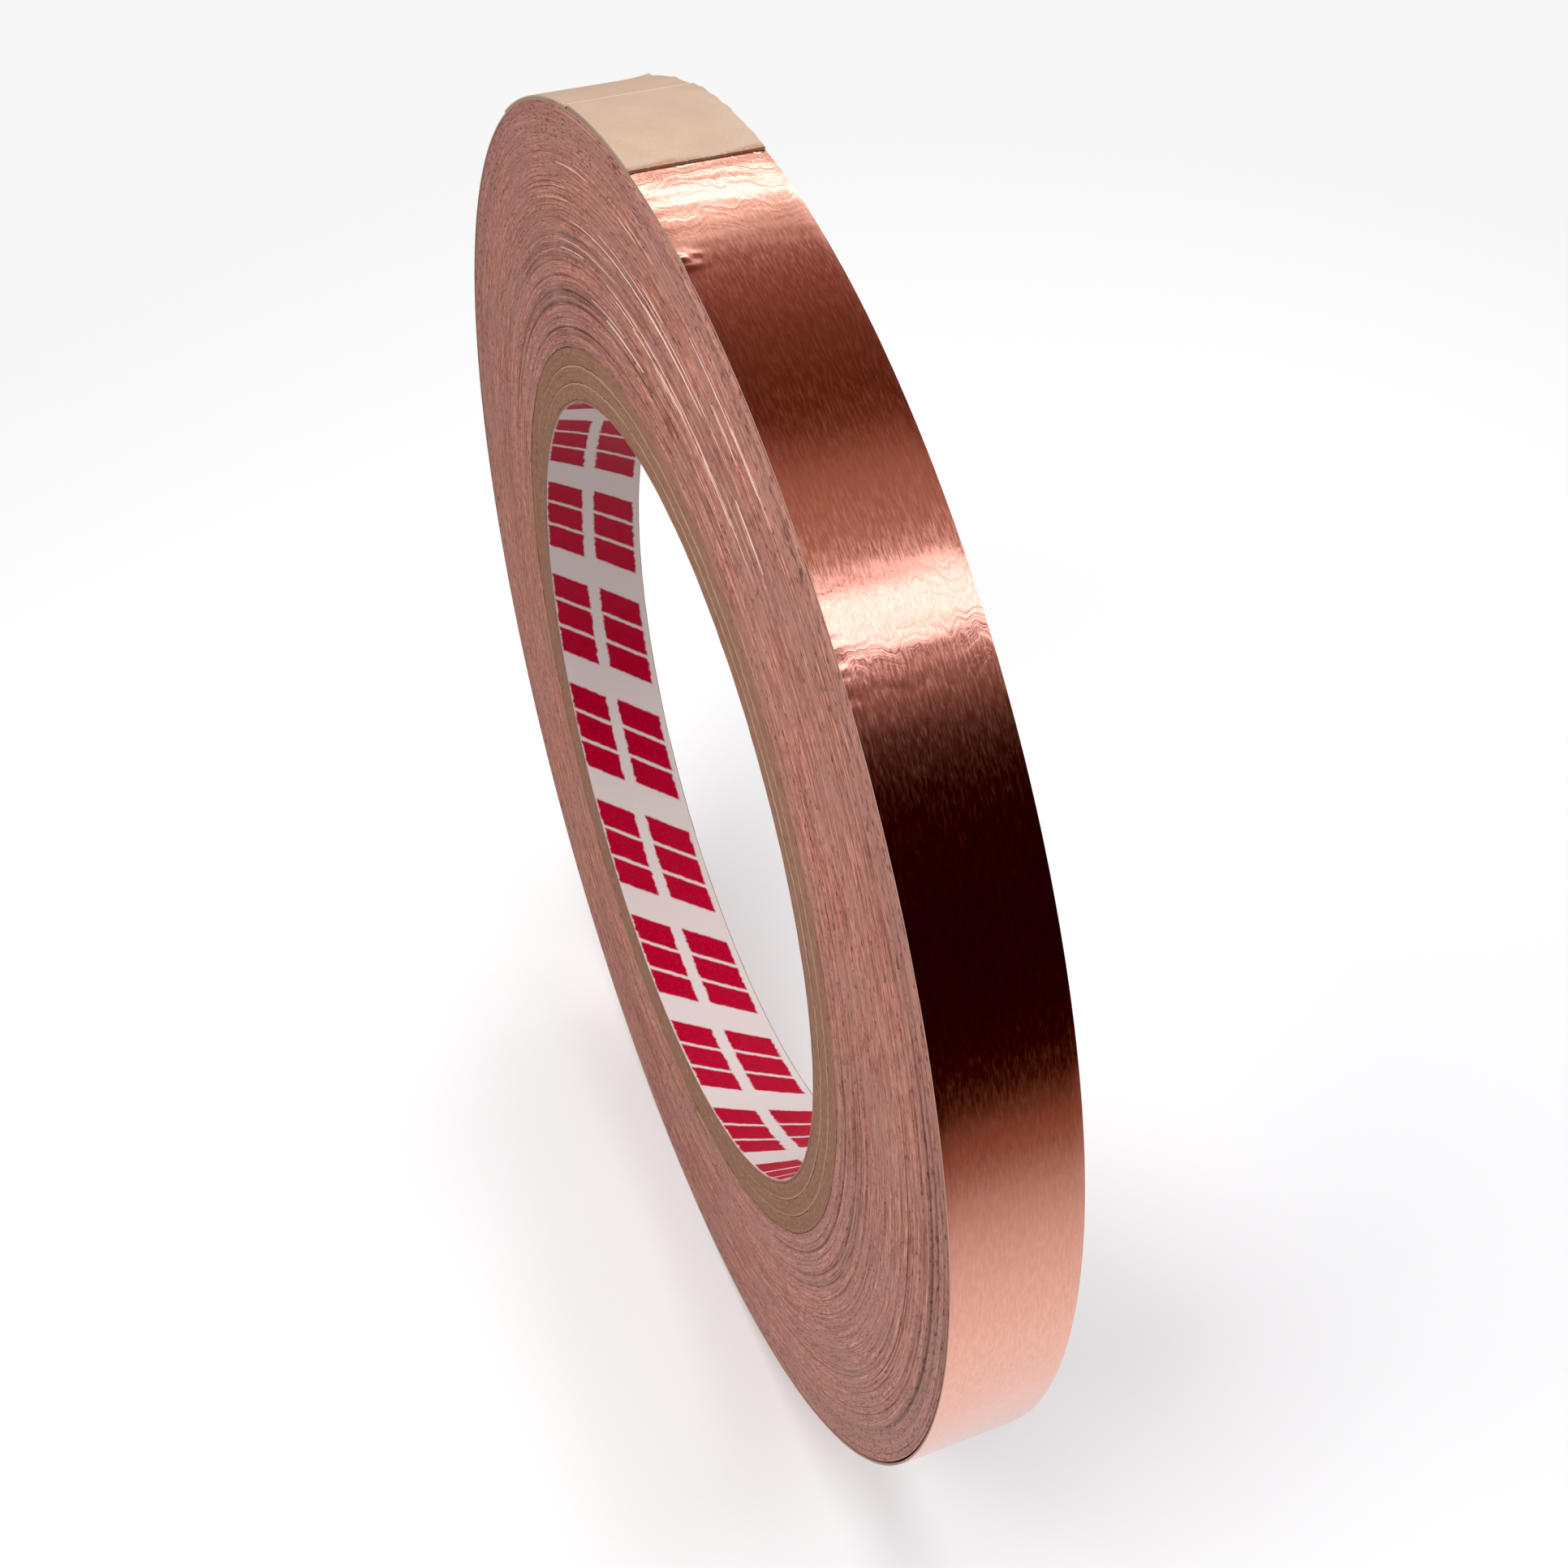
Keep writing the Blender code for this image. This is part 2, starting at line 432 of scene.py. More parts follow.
def liner_finish(settings):
    """White liner paper, printed with two rows of slanted bars in groups of three."""
    finish = Finish("printed_liner")
    x, z, _, y = finish.round_coordinates()
    wide = half_width("core_liner")
    turns = finish.maths("ARCTAN2", x, z) / TURN
    up = (y + wide) / (2 * wide)
    fibres = finish.noise(finish.vector(x * 160.0, z * 160.0, y * (4 / MM)), 1.0, 3.0)
    blur = finish.noise(finish.vector(x * 55.0, z * 55.0, y * (1.4 / MM)), 1.0)
    # Each group has the room of four bars, of which the last is left blank
    places, blank_from, slant = 4.0, (0.745, 0.765), 0.55

    def row(shift, low, high):
        """One row of bars across part of the width."""
        ragged = (blur - 0.5) * 0.05
        run = turns * settings.print_repeats + shift + (up - low) * slant + ragged * 0.4
        group = finish.maths("FRACT", run + 10.0)
        bar = finish.maths("FRACT", group * places)
        bars = finish.between(bar, 0.07, 0.95, 0.045) * (1 - finish.step(group, *blank_from))
        return bars * finish.between(up + ragged, low, high, 0.012)

    red = row(0.0, 0.02, 0.385) + row(0.24, 0.505, 0.93)
    paper = tuple(settings.liner)
    tone = finish.mix(fibres, paper, shade(paper, 0.95, 0.90, 0.86))
    ink = finish.mix(blur, tuple(settings.ink), shade(settings.ink, 0.72))
    tone = finish.mix(red * (0.97 + fibres * 0.06), tone, ink)
    ends = finish.step(finish.maths("ABSOLUTE", y), wide - 0.10 * MM, wide - 0.04 * MM)
    tone = finish.mix(ends, tone, tuple(settings.kraft))
    finish.bump(fibres, 0.02 * MM, 0.5)
    return finish.surface(tone, 0.6 - red * 0.1, Specular_IOR_Level=0.15)


def tab_finish(settings):
    """Tan tab paper: smooth, creased over the tape's end with a painted highlight along the crease, and
    glue showing at its front edge.
    """
    finish = Finish("tan_tab_paper")
    along, across = finish.strip_coordinates()
    fibre = finish.grain(along, across, (1.5, 6.0), 0.0, 3.0)
    cloud = finish.grain(along, across, (0.22, 0.3), 5.0)
    speck = finish.grain(along, across, (3.0, 3.0), 9.0, 1.0)
    tab = tuple(settings.tab)
    pale = shade(tab, 1.10, 1.15, 1.2)
    brown = shade(tab, 0.72, 0.50, 0.34)
    tone = finish.mix(finish.step(fibre * 0.5 + cloud * 0.5, 0.35, 0.65), tab, pale)
    edge = PEEL_ANGLE * FOIL_RADIUS / MM
    crease = END_ANGLE * FOIL_RADIUS / MM
    # Painted highlight: a pale line along the crease where the tab steps down over the tape's end
    ridge = finish.between(along + (fibre - 0.5) * 0.25, crease - 0.35, crease + 0.05, 0.10)
    tone = finish.mix(ridge * 0.65, tone, (0.92, 0.84, 0.68))
    front = finish.step(along + (cloud - 0.5) * 2.4, edge - 0.7, edge + 0.1)
    wet = front * finish.step(speck + cloud * 0.4, 0.50, 0.72)
    tone = finish.mix(wet * 0.85, tone, brown)
    finish.bump(fibre, 0.01 * MM, 0.6)
    return finish.surface(tone, 0.34 + fibre * 0.12, Specular_IOR_Level=0.5)


def plain_finish(name, base, roughness):
    """Adhesive, release paper and burrs, of which little more than the edges show."""
    finish = Finish(name)
    along, across = finish.strip_coordinates()
    cloud = finish.grain(along, across, (0.4, 2.0), 0.0, 3.0)
    finish.bump(cloud, 0.01 * MM, 0.5)
    return finish.surface(finish.mix(cloud, shade(base, 0.72), base), roughness + cloud * 0.1)


# ---------------------------------------------------------------- shapes

def keep(name, bm, material, body, node, sharp=30.0):
    """Makes a finished piece of a bmesh: its material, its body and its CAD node."""
    bmesh.ops.recalc_face_normals(bm, faces=bm.faces)
    mesh = bpy.data.meshes.new(name)
    bm.to_mesh(mesh)
    bm.free()
    mesh.shade_smooth()
    mesh.set_sharp_from_angle(angle=math.radians(sharp))
    mesh.materials.append(material)
    piece = bpy.data.objects.new(name, mesh)
    bpy.context.collection.objects.link(piece)
    if body:
        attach(piece, body)
    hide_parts(node)
    return piece


def lathe(profile, steps, form):
    """Spins a closed (radius, y) profile round the roll's axis, and lets `form` move each point."""
    bm = bmesh.new()
    verts = [bm.verts.new(place(0.0, radius, y)) for radius, y in profile]
    edges = [bm.edges.new(pair) for pair in zip(verts, verts[1:] + verts[:1])]
    bmesh.ops.spin(
        bm, geom=verts + edges, cent=AXIS, axis=(0.0, 1.0, 0.0), angle=TURN, steps=steps,
        use_merge=True)
    bmesh.ops.remove_doubles(bm, verts=bm.verts, dist=0.001 * MM)
    for vert in bm.verts:
        vert.co = place(*form(angle_of(vert.co), radius_of(vert.co), vert.co.y))
    return bm


def strip(first, last, steps, across, face, depth, thickness, lift):
    """A length of tape or paper: laid flat, given its thickness, mapped, and wrapped on the roll.

    `lift` gives how far a point stands off its place, from its angle and y.
    """
    bm = bmesh.new()
    bmesh.ops.create_grid(bm, x_segments=steps, y_segments=across, size=1.0)
    skin = bmesh.ops.extrude_face_region(bm, geom=list(bm.faces), use_keep_orig=True)["geom"]
    raised = [item for item in skin if isinstance(item, bmesh.types.BMVert)]
    bmesh.ops.translate(bm, verts=raised, vec=(0.0, 0.0, 1.0))
    uv = bm.loops.layers.uv.new("along")
    middle, half = (first + last) / 2, (last - first) / 2
    for side in bm.faces:
        for loop in side.loops:
            flat = loop.vert.co
            loop[uv].uv = ((middle + half * flat.x) * FOIL_RADIUS / MM, flat.y * HALF / MM)
    for vert in bm.verts:
        angle = middle + half * vert.co.x
        y = HALF * vert.co.y
        radius = face(angle) - depth - thickness * (1.0 - vert.co.z)
        vert.co = place(angle, radius + lift(angle, y), y)
    return bm


def wave(*coordinates):
    """Smooth noise between -1 and 1."""
    return noise.noise(Vector(coordinates))


def hump(value, middle, spread):
    """A bell of height 1."""
    return math.exp(-((value - middle) / spread) ** 2)


# ---------------------------------------------------------------- pieces

# Turns that sank between their neighbours: share of the roll's radius, and where, in degrees
LOOSE_TURNS = ((0.967, 62.0), (0.949, 88.0), (0.90, -150.0))
LOOSE_DEPTH = 0.30 * MM
LOOSE_SPREAD = 26.0

# Turns of foil whose edges stand out for long: share of the roll's radius, first and last degree
PROUD_TURNS = ((0.860, -14.0, 24.0), (0.847, -18.0, 15.0), (0.800, -8.0, 30.0))

# Sides of the roll along Y, and between which degrees short slivers start there
SLIVER_SIDES = ((-1.0, -30.0, 25.0), (1.0, -180.0, 180.0))
SLIVERS = 26


class PieceOperator:
    """What the roll's operators share."""

    bl_options = {"REGISTER", "UNDO"}


class FOILROLL_OT_liner(PieceOperator, bpy.types.Operator):
    """Add the printed paper liner in the core's bore"""

    bl_idname = "foilroll.liner"
    bl_label = "Printed Liner"

    def execute(self, context):
        inner, outer = shell("core_liner")
        half = half_width("core_liner")
        rows = 12
        profile = [(inner, -half + 2 * half * i / rows) for i in range(rows + 1)]
        profile += [(outer, half), (outer, -half)]

        def form(angle, radius, y):
            ripple = 0.012 * MM * wave(math.sin(angle) * 4, math.cos(angle) * 4, y / (5 * MM))
            ends = 0.03 * MM * wave(math.sin(angle) * 30, math.cos(angle) * 30, 3.0)
            return angle, radius - abs(ripple), y + ends * y / half

        bm = lathe(profile, steps=240, form=form)
        keep("printed_liner", bm, liner_finish(context.scene.foil_roll), "roll", "core_liner")
        return {"FINISHED"}


class FOILROLL_OT_core(PieceOperator, bpy.types.Operator):
    """Add the three kraft card plies of the core, with rough cut ends"""

    bl_idname = "foilroll.core"
    bl_label = "Card Core"

    def execute(self, context):
        material = kraft_finish(context.scene.foil_roll)
        for seed, ply in enumerate(("inner", "middle", "outer")):
            self.add_ply("kraft_ply_" + ply, "core_ply_" + ply, material, 10.0 * seed)
        return {"FINISHED"}

    def add_ply(self, name, node, material, seed):
        """One ply, whose end faces are cut a little unevenly."""
        inner, outer = shell(node)
        half = half_width(node)
        rows = 10
        fall, fall_width = 0.04 * MM, 0.2 * MM
        radii = [inner + (outer - inner) * i / rows for i in range(rows + 1)]

        def end(radius):
            """How far the rounded edges of the end face fall back."""
            near = min(radius - inner, outer - radius)
            return fall * max(0.0, 1.0 - near / fall_width) ** 2

        profile = [(radius, half - end(radius)) for radius in radii]
        profile += [(radius, end(radius) - half) for radius in reversed(radii)]

        def form(angle, radius, y):
            ring = (math.sin(angle), math.cos(angle))
            cut = 0.05 * MM * wave(ring[0] * 9, ring[1] * 9, radius / (0.5 * MM) + seed)
            cut += 0.03 * MM * wave(ring[0] * 60, ring[1] * 60, radius / (0.3 * MM) + seed)
            return angle, radius, y + math.copysign(abs(cut - 0.04 * MM), y)

        bm = lathe(profile, steps=480, form=form)
        keep(name, bm, material, "roll", node)


class FOILROLL_OT_pack(PieceOperator, bpy.types.Operator):
    """Add the wound turns in three bands, each turn with its own slit edges"""

    bl_idname = "foilroll.pack"
    bl_label = "Wound Turns"

    def execute(self, context):
        settings = context.scene.foil_roll
        material = slit_finish(settings)
        turns = round((PACK_OUTER - PACK_INNER) / PITCH)
        bands = ("inner", "middle", "outer")
        chooser = random.Random(4)
        for index, band in enumerate(bands):
            first = turns * index // len(bands)
            last = turns * (index + 1) // len(bands)
            bm = self.wind(first, last, turns, settings.slit_scatter, chooser)
            keep(f"wound_turns_{band}", bm, material, "roll", "wound_turns", sharp=60.0)
        self.add_proud_edges(chooser)
        return {"FINISHED"}

    def add_proud_edges(self, chooser):
        """A few turns of foil that were wound a hair off centre, so their edges catch the light."""
        bm = bmesh.new()
        for side, low, high in SLIVER_SIDES:
            for share, first, last in PROUD_TURNS:
                self.add_sliver(bm, side, share * FOIL_RADIUS, first, last)
            for _ in range(SLIVERS):
                radius = chooser.uniform(PACK_INNER + 3 * MM, PACK_OUTER - 4 * MM)
                first = chooser.uniform(low, high)
                self.add_sliver(bm, side, radius, first, first + chooser.uniform(4.0, 20.0))
        material = plain_finish("bare_foil_burr", (0.98, 0.76, 0.64), 0.45)
        keep("proud_foil_edges", bm, material, "roll", "wound_turns", sharp=60.0)

    def add_sliver(self, bm, side, radius, first, last):
        """One sliver of foil between two angles in degrees, tapered at both ends."""
        thickness, root, buried = 0.035 * MM, 0.30 * MM, 0.225 * MM
        steps = max(8, round(2 * (last - first)))
        grid = bmesh.ops.create_grid(bm, x_segments=steps, y_segments=1, size=1.0)["verts"]
        faces = list(dict.fromkeys(face for vert in grid for face in vert.link_faces))
        skin = bmesh.ops.extrude_face_region(bm, geom=faces, use_keep_orig=True)["geom"]
        raised = [item for item in skin if isinstance(item, bmesh.types.BMVert)]
        bmesh.ops.translate(bm, verts=raised, vec=(0.0, 0.0, 1.0))
        for vert in grid + raised:
            along = (vert.co.x + 1) / 2
            angle = math.radians(first + (last - first) * along)
            ragged = 0.7 + 0.8 * wave(angle * FOIL_RADIUS / (1.2 * MM), radius / MM, side)
            proud = 0.055 * MM * ragged * max(0.0, math.sin(math.pi * along)) ** 0.4
            y = HALF - root + (buried + proud) * (vert.co.y + 1) / 2
            vert.co = place(angle, radius + thickness * vert.co.z, side * y)

    def wind(self, first, last, turns, scatter, chooser):
        """The turns from one number to another, each a ridge with a groove below it."""
        pitch = (PACK_OUTER - PACK_INNER) / turns
        groove = 0.050 * MM
        front, back = [], []
        for turn in range(first, last):
            inner = PACK_INNER + turn * pitch
            for side in (front, back):
                off = chooser.uniform(-1.0, 1.0) * scatter
                if chooser.random() < 0.07:
                    off -= 1.6 * scatter
                elif chooser.random() < 0.05:
                    off += 1.2 * scatter
                side.append((inner + 0.08 * pitch, off - groove))
                side.append((inner + 0.50 * pitch, off))
        low, high = PACK_INNER + first * pitch, PACK_INNER + last * pitch
        room = HALF - 0.05 * MM
        profile = [(low, room)] + [(radius, room + off) for radius, off in back] + [(high, room)]
        profile += [(high, -room)] + [(radius, -room - off) for radius, off in reversed(front)]
        profile += [(low, -room)]

        def form(angle, radius, y):
            ring = (math.sin(angle), math.cos(angle))
            wander = 0.025 * MM * wave(ring[0] * 5, ring[1] * 5, radius / (0.22 * MM))
            dish = 0.05 * MM * wave(ring[0] * 1.5, ring[1] * 1.5, radius / (9 * MM))
            for share, middle in LOOSE_TURNS:
                if abs(radius - share * FOIL_RADIUS) < pitch * 0.75:
                    wander -= LOOSE_DEPTH * hump(math.degrees(angle), middle, LOOSE_SPREAD)
            return angle, radius, y + math.copysign(1.0, y) * wander + dish

        return lathe(profile, steps=360, form=form)


def foil_lift(settings):
    """How far the outer layer stands off its place: cross wrinkles, turned-down edges, dents."""
    peak = settings.wrinkle
    curl = settings.edge_curl
    front_dent = Vector((math.radians(11.4) * FOIL_RADIUS, -HALF))
    dent_height, nick_height = 0.20 * MM, 0.06 * MM

    def lift(angle, y):
        along = angle * FOIL_RADIUS
        degrees = math.degrees(angle)
        handled = hump(degrees, 4.0, 7.0) + 0.3 * hump(degrees, 39.0, 5.0) + 0.08
        bow = 1.2 * MM * wave(y / (6 * MM), 2.0, 0.0)
        waves = wave((along + bow) / (1.3 * MM), y / (7 * MM), 0.0)
        broad = 0.5 * wave(along / (6 * MM), y / (9 * MM), 9.0)
        height = peak * (handled * (0.5 + waves) + broad + 0.6)
        near_edge = max(0.0, 1.0 - (HALF - abs(y)) / (0.8 * MM))
        height -= curl * near_edge ** 2
        away = (Vector((along, y)) - front_dent).length
        crumple = dent_height * hump(away, 0.0, 1.0 * MM)
        height += crumple * (0.7 + wave(along / (0.6 * MM), y / (0.6 * MM), 3.0))
        if y < 0.0:
            nicks = nick_height * near_edge * hump(degrees, 40.5, 3.0)
            height += nicks * wave(along / (0.5 * MM), 8.0, 8.0)
        return height

    return lift


def add_layers(context, prefix, first, last, steps, inner_steps, body=None):
    """The foil, the adhesive and the release paper of one length of tape."""
    foil = foil_lift(context.scene.foil_roll)
    rows = (
        ("foil", "copper_foil", steps, 30),
        ("adhesive", "acrylic_adhesive", inner_steps, 4),
        ("release_paper", "release_paper", inner_steps, 4),
    )
    made = []
    for name, slot, along, across in rows:
        node = f"{prefix}_{name}"
        depth, thickness = layer(node, first, last) if last < TURN else full_layer(node)
        top = foil if name == "foil" else lambda angle, y: 0.0
        bm = strip(first, last, along, across, foil_face, depth, thickness, top)
        material = layer_finish(context, slot)
        made.append(keep(f"{node}_finish", bm, material, body, node, sharp=40.0))
    return made


def full_layer(node):
    """Depth and thickness of a layer of the last turn, which goes all the way round."""
    inner, outer = shell(node)
    return FOIL_RADIUS - outer, outer - inner - PITCH


def layer_finish(context, kind):
    """The material of a layer, made once."""
    name = {
        "copper_foil": "rolled_copper",
        "acrylic_adhesive": "adhesive_film",
        "release_paper": "release_paper_edge",
        "tab_adhesive": "tab_adhesive_film",
    }[kind]
    known = bpy.data.materials.get(name)
    if known:
        return known
    if kind == "copper_foil":
        return copper_finish(context.scene.foil_roll)
    if kind == "release_paper":
        return plain_finish(name, (0.46, 0.27, 0.21), 0.75)
    return plain_finish(name, (0.55, 0.40, 0.30), 0.5)


class FOILROLL_OT_last_turn(PieceOperator, bpy.types.Operator):
    """Add the last turn of tape: foil, adhesive and release paper"""

    bl_idname = "foilroll.last_turn"
    bl_label = "Last Turn"

    def execute(self, context):
        add_layers(
            context, "last_turn", LIFT_ANGLE, LIFT_ANGLE + TURN, steps=1400, inner_steps=350, body="roll")
        return {"FINISHED"}


class FOILROLL_OT_free_end(PieceOperator, bpy.types.Operator):
    """Add the free end of the tape, the length that can be lifted away from the roll"""

    bl_idname = "foilroll.free_end"
    bl_label = "Free End"

    def execute(self, context):
        pieces = add_layers(
            context, "tape_end", END_ANGLE, LIFT_ANGLE, steps=240, inner_steps=240)
        for piece in pieces:
            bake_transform(piece)
        return {"FINISHED"}


class FOILROLL_OT_tab(PieceOperator, bpy.types.Operator):
    """Add the paper tab and the adhesive under it"""

    bl_idname = "foilroll.tab"
    bl_label = "End Tab"

    def execute(self, context):
        settings = context.scene.foil_roll
        bridge = 0.7 * MM / FOIL_RADIUS

        def face(angle):
            """The tab follows the free end, then steps down to the turn below."""
            down = min(1.0, max(0.0, (END_ANGLE - angle) / bridge))
            return foil_face(angle) - PITCH * down * down * (3 - 2 * down)

        def lift(angle, y):
            along = angle * FOIL_RADIUS
            past = min(1.0, max(0.0, (END_ANGLE - angle) / (3 * bridge)))
            loose = 0.03 * MM * past * max(0.0, wave(along / (3.5 * MM), y / (6 * MM), 2.0))
            back = max(0.0, 1.0 - (HALF - y) / (2.5 * MM)) ** 2
            loose += 0.45 * MM * back * max(0.0, wave(along / (2.6 * MM), 0.0, 7.0))
            return 0.006 * MM * (1 + wave(along / (2.5 * MM), y / (5 * MM), 0.0)) + loose

        # A little past the step, so that the corners read there lie on the free end
        past_step = 0.01
        for node in ("tab_adhesive", "tab_paper"):
            inner, outer = shell(node, END_ANGLE + past_step)
            span = reach(node)[1] - END_ANGLE
            thickness = outer - inner - PITCH * (span - past_step) / TURN
            depth = foil_face(PEEL_ANGLE) - inner - thickness
            material = tab_finish(settings) if node == "tab_paper" else layer_finish(context, node)
            bm = strip(
                TAIL_ANGLE, PEEL_ANGLE, steps=220, across=24, face=face, depth=depth,
                thickness=thickness, lift=lift)
            keep(f"{node}_finish", bm, material, "end_tab", node, sharp=40.0)
        return {"FINISHED"}


# ---------------------------------------------------------------- stage

# Soft lights: name, angle of the point on the rim that it is aimed at, direction and distance from
# there, size, power, and whether the foil mirrors it.  Two strips make the bands of light on the
# foil.  A key and a fill light the sides, and a wash from above lights the floor.
LIGHTS = (
    ("rim_strip", 37.5, (0.4175, 0.344, 0.841), 0.62, (0.115, 0.5), 0.50, True),
    ("end_strip", 4.5, (-0.745, 0.344, 0.572), 0.62, (0.06, 0.5), 0.30, True),
    ("side_key", 12.0, (0.25, -0.80, 0.50), 0.20, (0.16, 0.16), 0.45, False),
    ("back_fill", -60.0, (-0.35, 0.85, 0.40), 0.45, (0.35, 0.35), 1.1, False),
    ("floor_wash", 0.0, (-0.1, -0.06, 1.0), 1.3, (0.9, 0.9), 12.5, False),
)
PLAIN_WHITE = (1.0, 1.0, 1.0)
COOL_WHITE = (0.87, 0.87, 1.0)

# Tones of the backdrop, of the even light on matt surfaces, and of the room before the roll
BACKDROP = (0.93, 0.93, 0.93)
EVEN_LIGHT = (0.16, 0.16, 0.165)
ROOM_FRONT = (0.55, 0.50, 0.48)

# The point that the camera looks at, from the roll's axis
LOOK_AT = Vector((18.5, 0.0, 16.5)) * MM


def softbox(name, angle, direction, distance, size, power, mirrored):
    """A soft rectangular light aimed at the rim, its first side in the plane of the turns."""
    toward = Vector(direction).normalized()
    side = Vector((0.0, 1.0, 0.0)).cross(toward).normalized()
    up = toward.cross(side)
    data = bpy.data.lights.new(name, "AREA")
    data.shape = "RECTANGLE"
    data.size, data.size_y = size
    data.energy = power
    data.color = COOL_WHITE if mirrored else PLAIN_WHITE
    lamp = bpy.data.objects.new(name, data)
    turn = Matrix((side, up, toward)).transposed().to_4x4()
    rim = place(math.radians(angle), FOIL_RADIUS, 0.0)
    lamp.matrix_world = Matrix.Translation(rim + toward * distance) @ turn
    lamp.visible_camera = False
    lamp.visible_glossy = mirrored
    bpy.context.collection.objects.link(lamp)


# The room that the foil mirrors: tones by angle round the roll's axis, from overhead towards +X
ROOM = (
    (-180, (0.05, 0.04, 0.04)),
    (-100, (0.30, 0.24, 0.22)),
    (-74, (0.90, 0.82, 0.78)),
    (-44, (1.15, 1.10, 1.05)),
    (-37, (0.33, 0.16, 0.14)),
    (-21, (0.17, 0.07, 0.05)),
    (-9, (0.11, 0.04, 0.03)),
    (-3, (0.14, 0.05, 0.035)),
    (3, (0.34, 0.18, 0.14)),
    (8, (0.43, 0.25, 0.20)),
    (16, (0.44, 0.28, 0.23)),
    (30, (0.40, 0.30, 0.27)),
    (38, (0.30, 0.17, 0.16)),
    (45, (0.055, 0.025, 0.022)),
    (53, (0.015, 0.004, 0.003)),
    (62, (0.012, 0.001, 0.001)),
    (96, (0.012, 0.001, 0.001)),
    (103, (0.04, 0.013, 0.007)),
    (109, (0.28, 0.13, 0.09)),
    (124, (0.36, 0.20, 0.15)),
    (180, (0.10, 0.07, 0.06)),
)


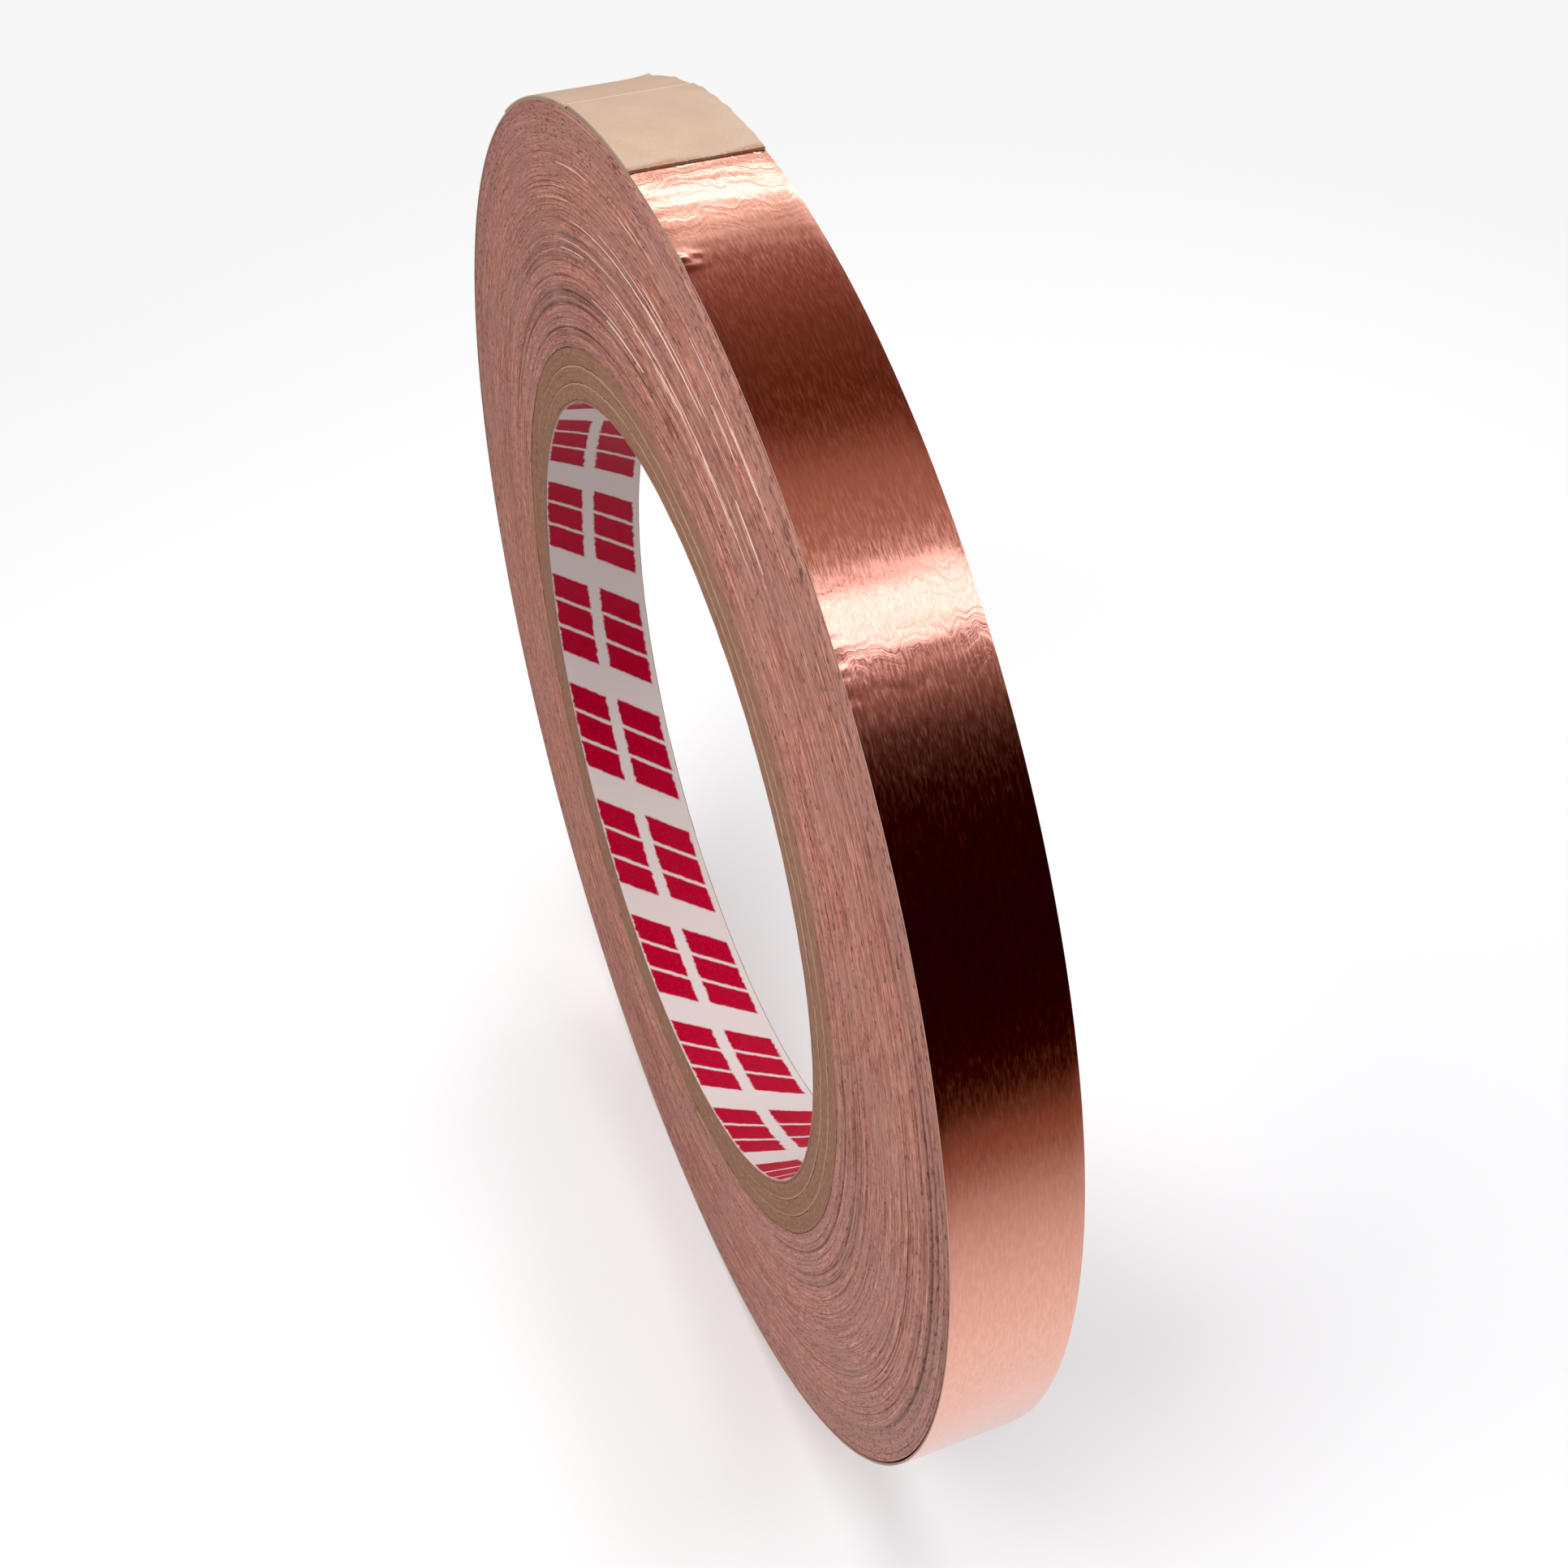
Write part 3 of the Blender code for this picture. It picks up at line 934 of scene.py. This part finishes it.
class FOILROLL_OT_stage(bpy.types.Operator):
    """Add the floor, the soft lights, the backdrop and the camera"""

    bl_idname = "foilroll.stage"
    bl_label = "Studio"
    bl_options = {"REGISTER", "UNDO"}

    def execute(self, context):
        stage = context.scene.foil_stage
        self.add_floor(stage)
        for light in LIGHTS:
            softbox(*light)
        self.add_world(context.scene)
        self.add_camera(context.scene, stage)
        return {"FINISHED"}

    def add_floor(self, stage):
        """A round pale floor that fades out into the backdrop."""
        radius, below, fade_from, fade_to = 1.2, 0.15 * MM, 0.07, 0.30
        bm = bmesh.new()
        bmesh.ops.create_circle(bm, cap_ends=True, segments=96, radius=radius)
        bmesh.ops.translate(bm, verts=bm.verts, vec=(0.0, 0.0, -below))
        mesh = bpy.data.meshes.new("studio_floor")
        bm.to_mesh(mesh)
        bm.free()
        finish = Finish("floor_paint")
        where = finish.add("TexCoord", output=3)
        away = finish.add("VectorMath", {"operation": "LENGTH"}, {0: where}, output=1)
        haze = finish.noise(where, 9.0, 2.0)
        fade = 1 - finish.step(away, fade_from, fade_to)
        finish.feed(finish.shader.inputs["Alpha"], fade)
        tone = finish.mix(haze * 0.5, tuple(stage.floor), shade(stage.floor, 0.985))
        mesh.materials.append(finish.surface(tone, 0.9, Specular_IOR_Level=0.2))
        item = bpy.data.objects.new("studio_floor", mesh)
        bpy.context.collection.objects.link(item)

    def add_world(self, scene):
        """A pale backdrop, even light on matt surfaces, and a banded room for the foil to mirror."""
        world = bpy.data.worlds.new("studio")
        world.use_nodes = True
        world.cycles.sampling_method = "NONE"
        tree = world.node_tree
        tree.nodes.clear()
        room = Finish("studio", tree)
        where = room.add("TexCoord", output=0)
        split = room.add("SeparateXYZ", None, {0: where}).socket.node
        x, y, z = (Value(room, split.outputs[i]) for i in range(3))
        round_axis = room.maths("ARCTAN2", x, z) / TURN + 0.5
        stops = [(angle / 360.0 + 0.5, tone) for angle, tone in ROOM]
        bands = room.add("ValToRGB", {"stops": stops}, {0: round_axis})
        front = room.step(0.0 - y, 0.15, 0.55)
        mirrored = room.add("Background", None, {0: room.mix(front, bands, ROOM_FRONT), 1: 1.0})
        even = room.add("Background", None, {0: EVEN_LIGHT, 1: 1.0})
        backdrop = room.add("Background", None, {0: BACKDROP, 1: 1.0})
        path = room.add("LightPath").socket.node
        seen, glossy = (Value(room, path.outputs[f"Is {kind} Ray"]) for kind in ("Camera", "Glossy"))
        light = room.add("MixShader", None, {0: glossy, 1: even, 2: mirrored})
        both = room.add("MixShader", None, {0: seen, 1: light, 2: backdrop})
        ending = tree.nodes.new("ShaderNodeOutputWorld")
        room.feed(ending.inputs["Surface"], both)
        scene.world = world

    def add_camera(self, scene, stage):
        """The camera, and the view's tones: near-black shades sink to a warm black."""
        level = math.cos(stage.elevation)
        back = Vector((
            math.sin(stage.azimuth) * level, -math.cos(stage.azimuth) * level,
            math.sin(stage.elevation)))
        data = bpy.data.cameras.new("camera")
        data.lens = stage.lens
        data.sensor_width = 36.0
        data.clip_start = 0.01
        camera = bpy.data.objects.new("camera", data)
        camera.location = AXIS + LOOK_AT + back * stage.distance
        camera.rotation_euler = back.to_track_quat("Z", "Y").to_euler()
        bpy.context.collection.objects.link(camera)
        scene.camera = camera
        scene.view_settings.view_transform = "Standard"
        scene.view_settings.use_curve_mapping = True
        curve = scene.view_settings.curve_mapping
        curve.black_level = (0.0, 0.003, 0.003)
        curve.update()


class FOILROLL_PT_sidebar(bpy.types.Panel):
    """Lists the roll's pieces and settings"""

    bl_label = "Copper Foil Roll"
    bl_idname = "FOILROLL_PT_sidebar"
    bl_space_type = "VIEW_3D"
    bl_region_type = "UI"
    bl_category = "Foil Roll"

    def draw(self, context):
        for settings in (context.scene.foil_roll, context.scene.foil_stage):
            box = self.layout.box()
            for name in settings.__annotations__:
                box.prop(settings, name)
        for operator in OPERATORS:
            self.layout.operator(operator.bl_idname)


OPERATORS = (
    FOILROLL_OT_liner,
    FOILROLL_OT_core,
    FOILROLL_OT_pack,
    FOILROLL_OT_last_turn,
    FOILROLL_OT_free_end,
    FOILROLL_OT_tab,
    FOILROLL_OT_stage,
)
CLASSES = (RollSettings, StageSettings, *OPERATORS, FOILROLL_PT_sidebar)


def register():
    """Registers the classes and their settings."""
    for item in CLASSES:
        bpy.utils.register_class(item)
    bpy.types.Scene.foil_roll = PointerProperty(type=RollSettings)
    bpy.types.Scene.foil_stage = PointerProperty(type=StageSettings)


def unregister():
    """Removes them again."""
    del bpy.types.Scene.foil_stage
    del bpy.types.Scene.foil_roll
    for item in reversed(CLASSES):
        bpy.utils.unregister_class(item)


def main():
    """Builds every piece and the stage."""
    register()
    bpy.ops.foilroll.stage()
    bpy.ops.foilroll.liner()
    bpy.ops.foilroll.core()
    bpy.ops.foilroll.pack()
    bpy.ops.foilroll.last_turn()
    bpy.ops.foilroll.free_end()
    bpy.ops.foilroll.tab()


if __name__ == "__main__":
    main()
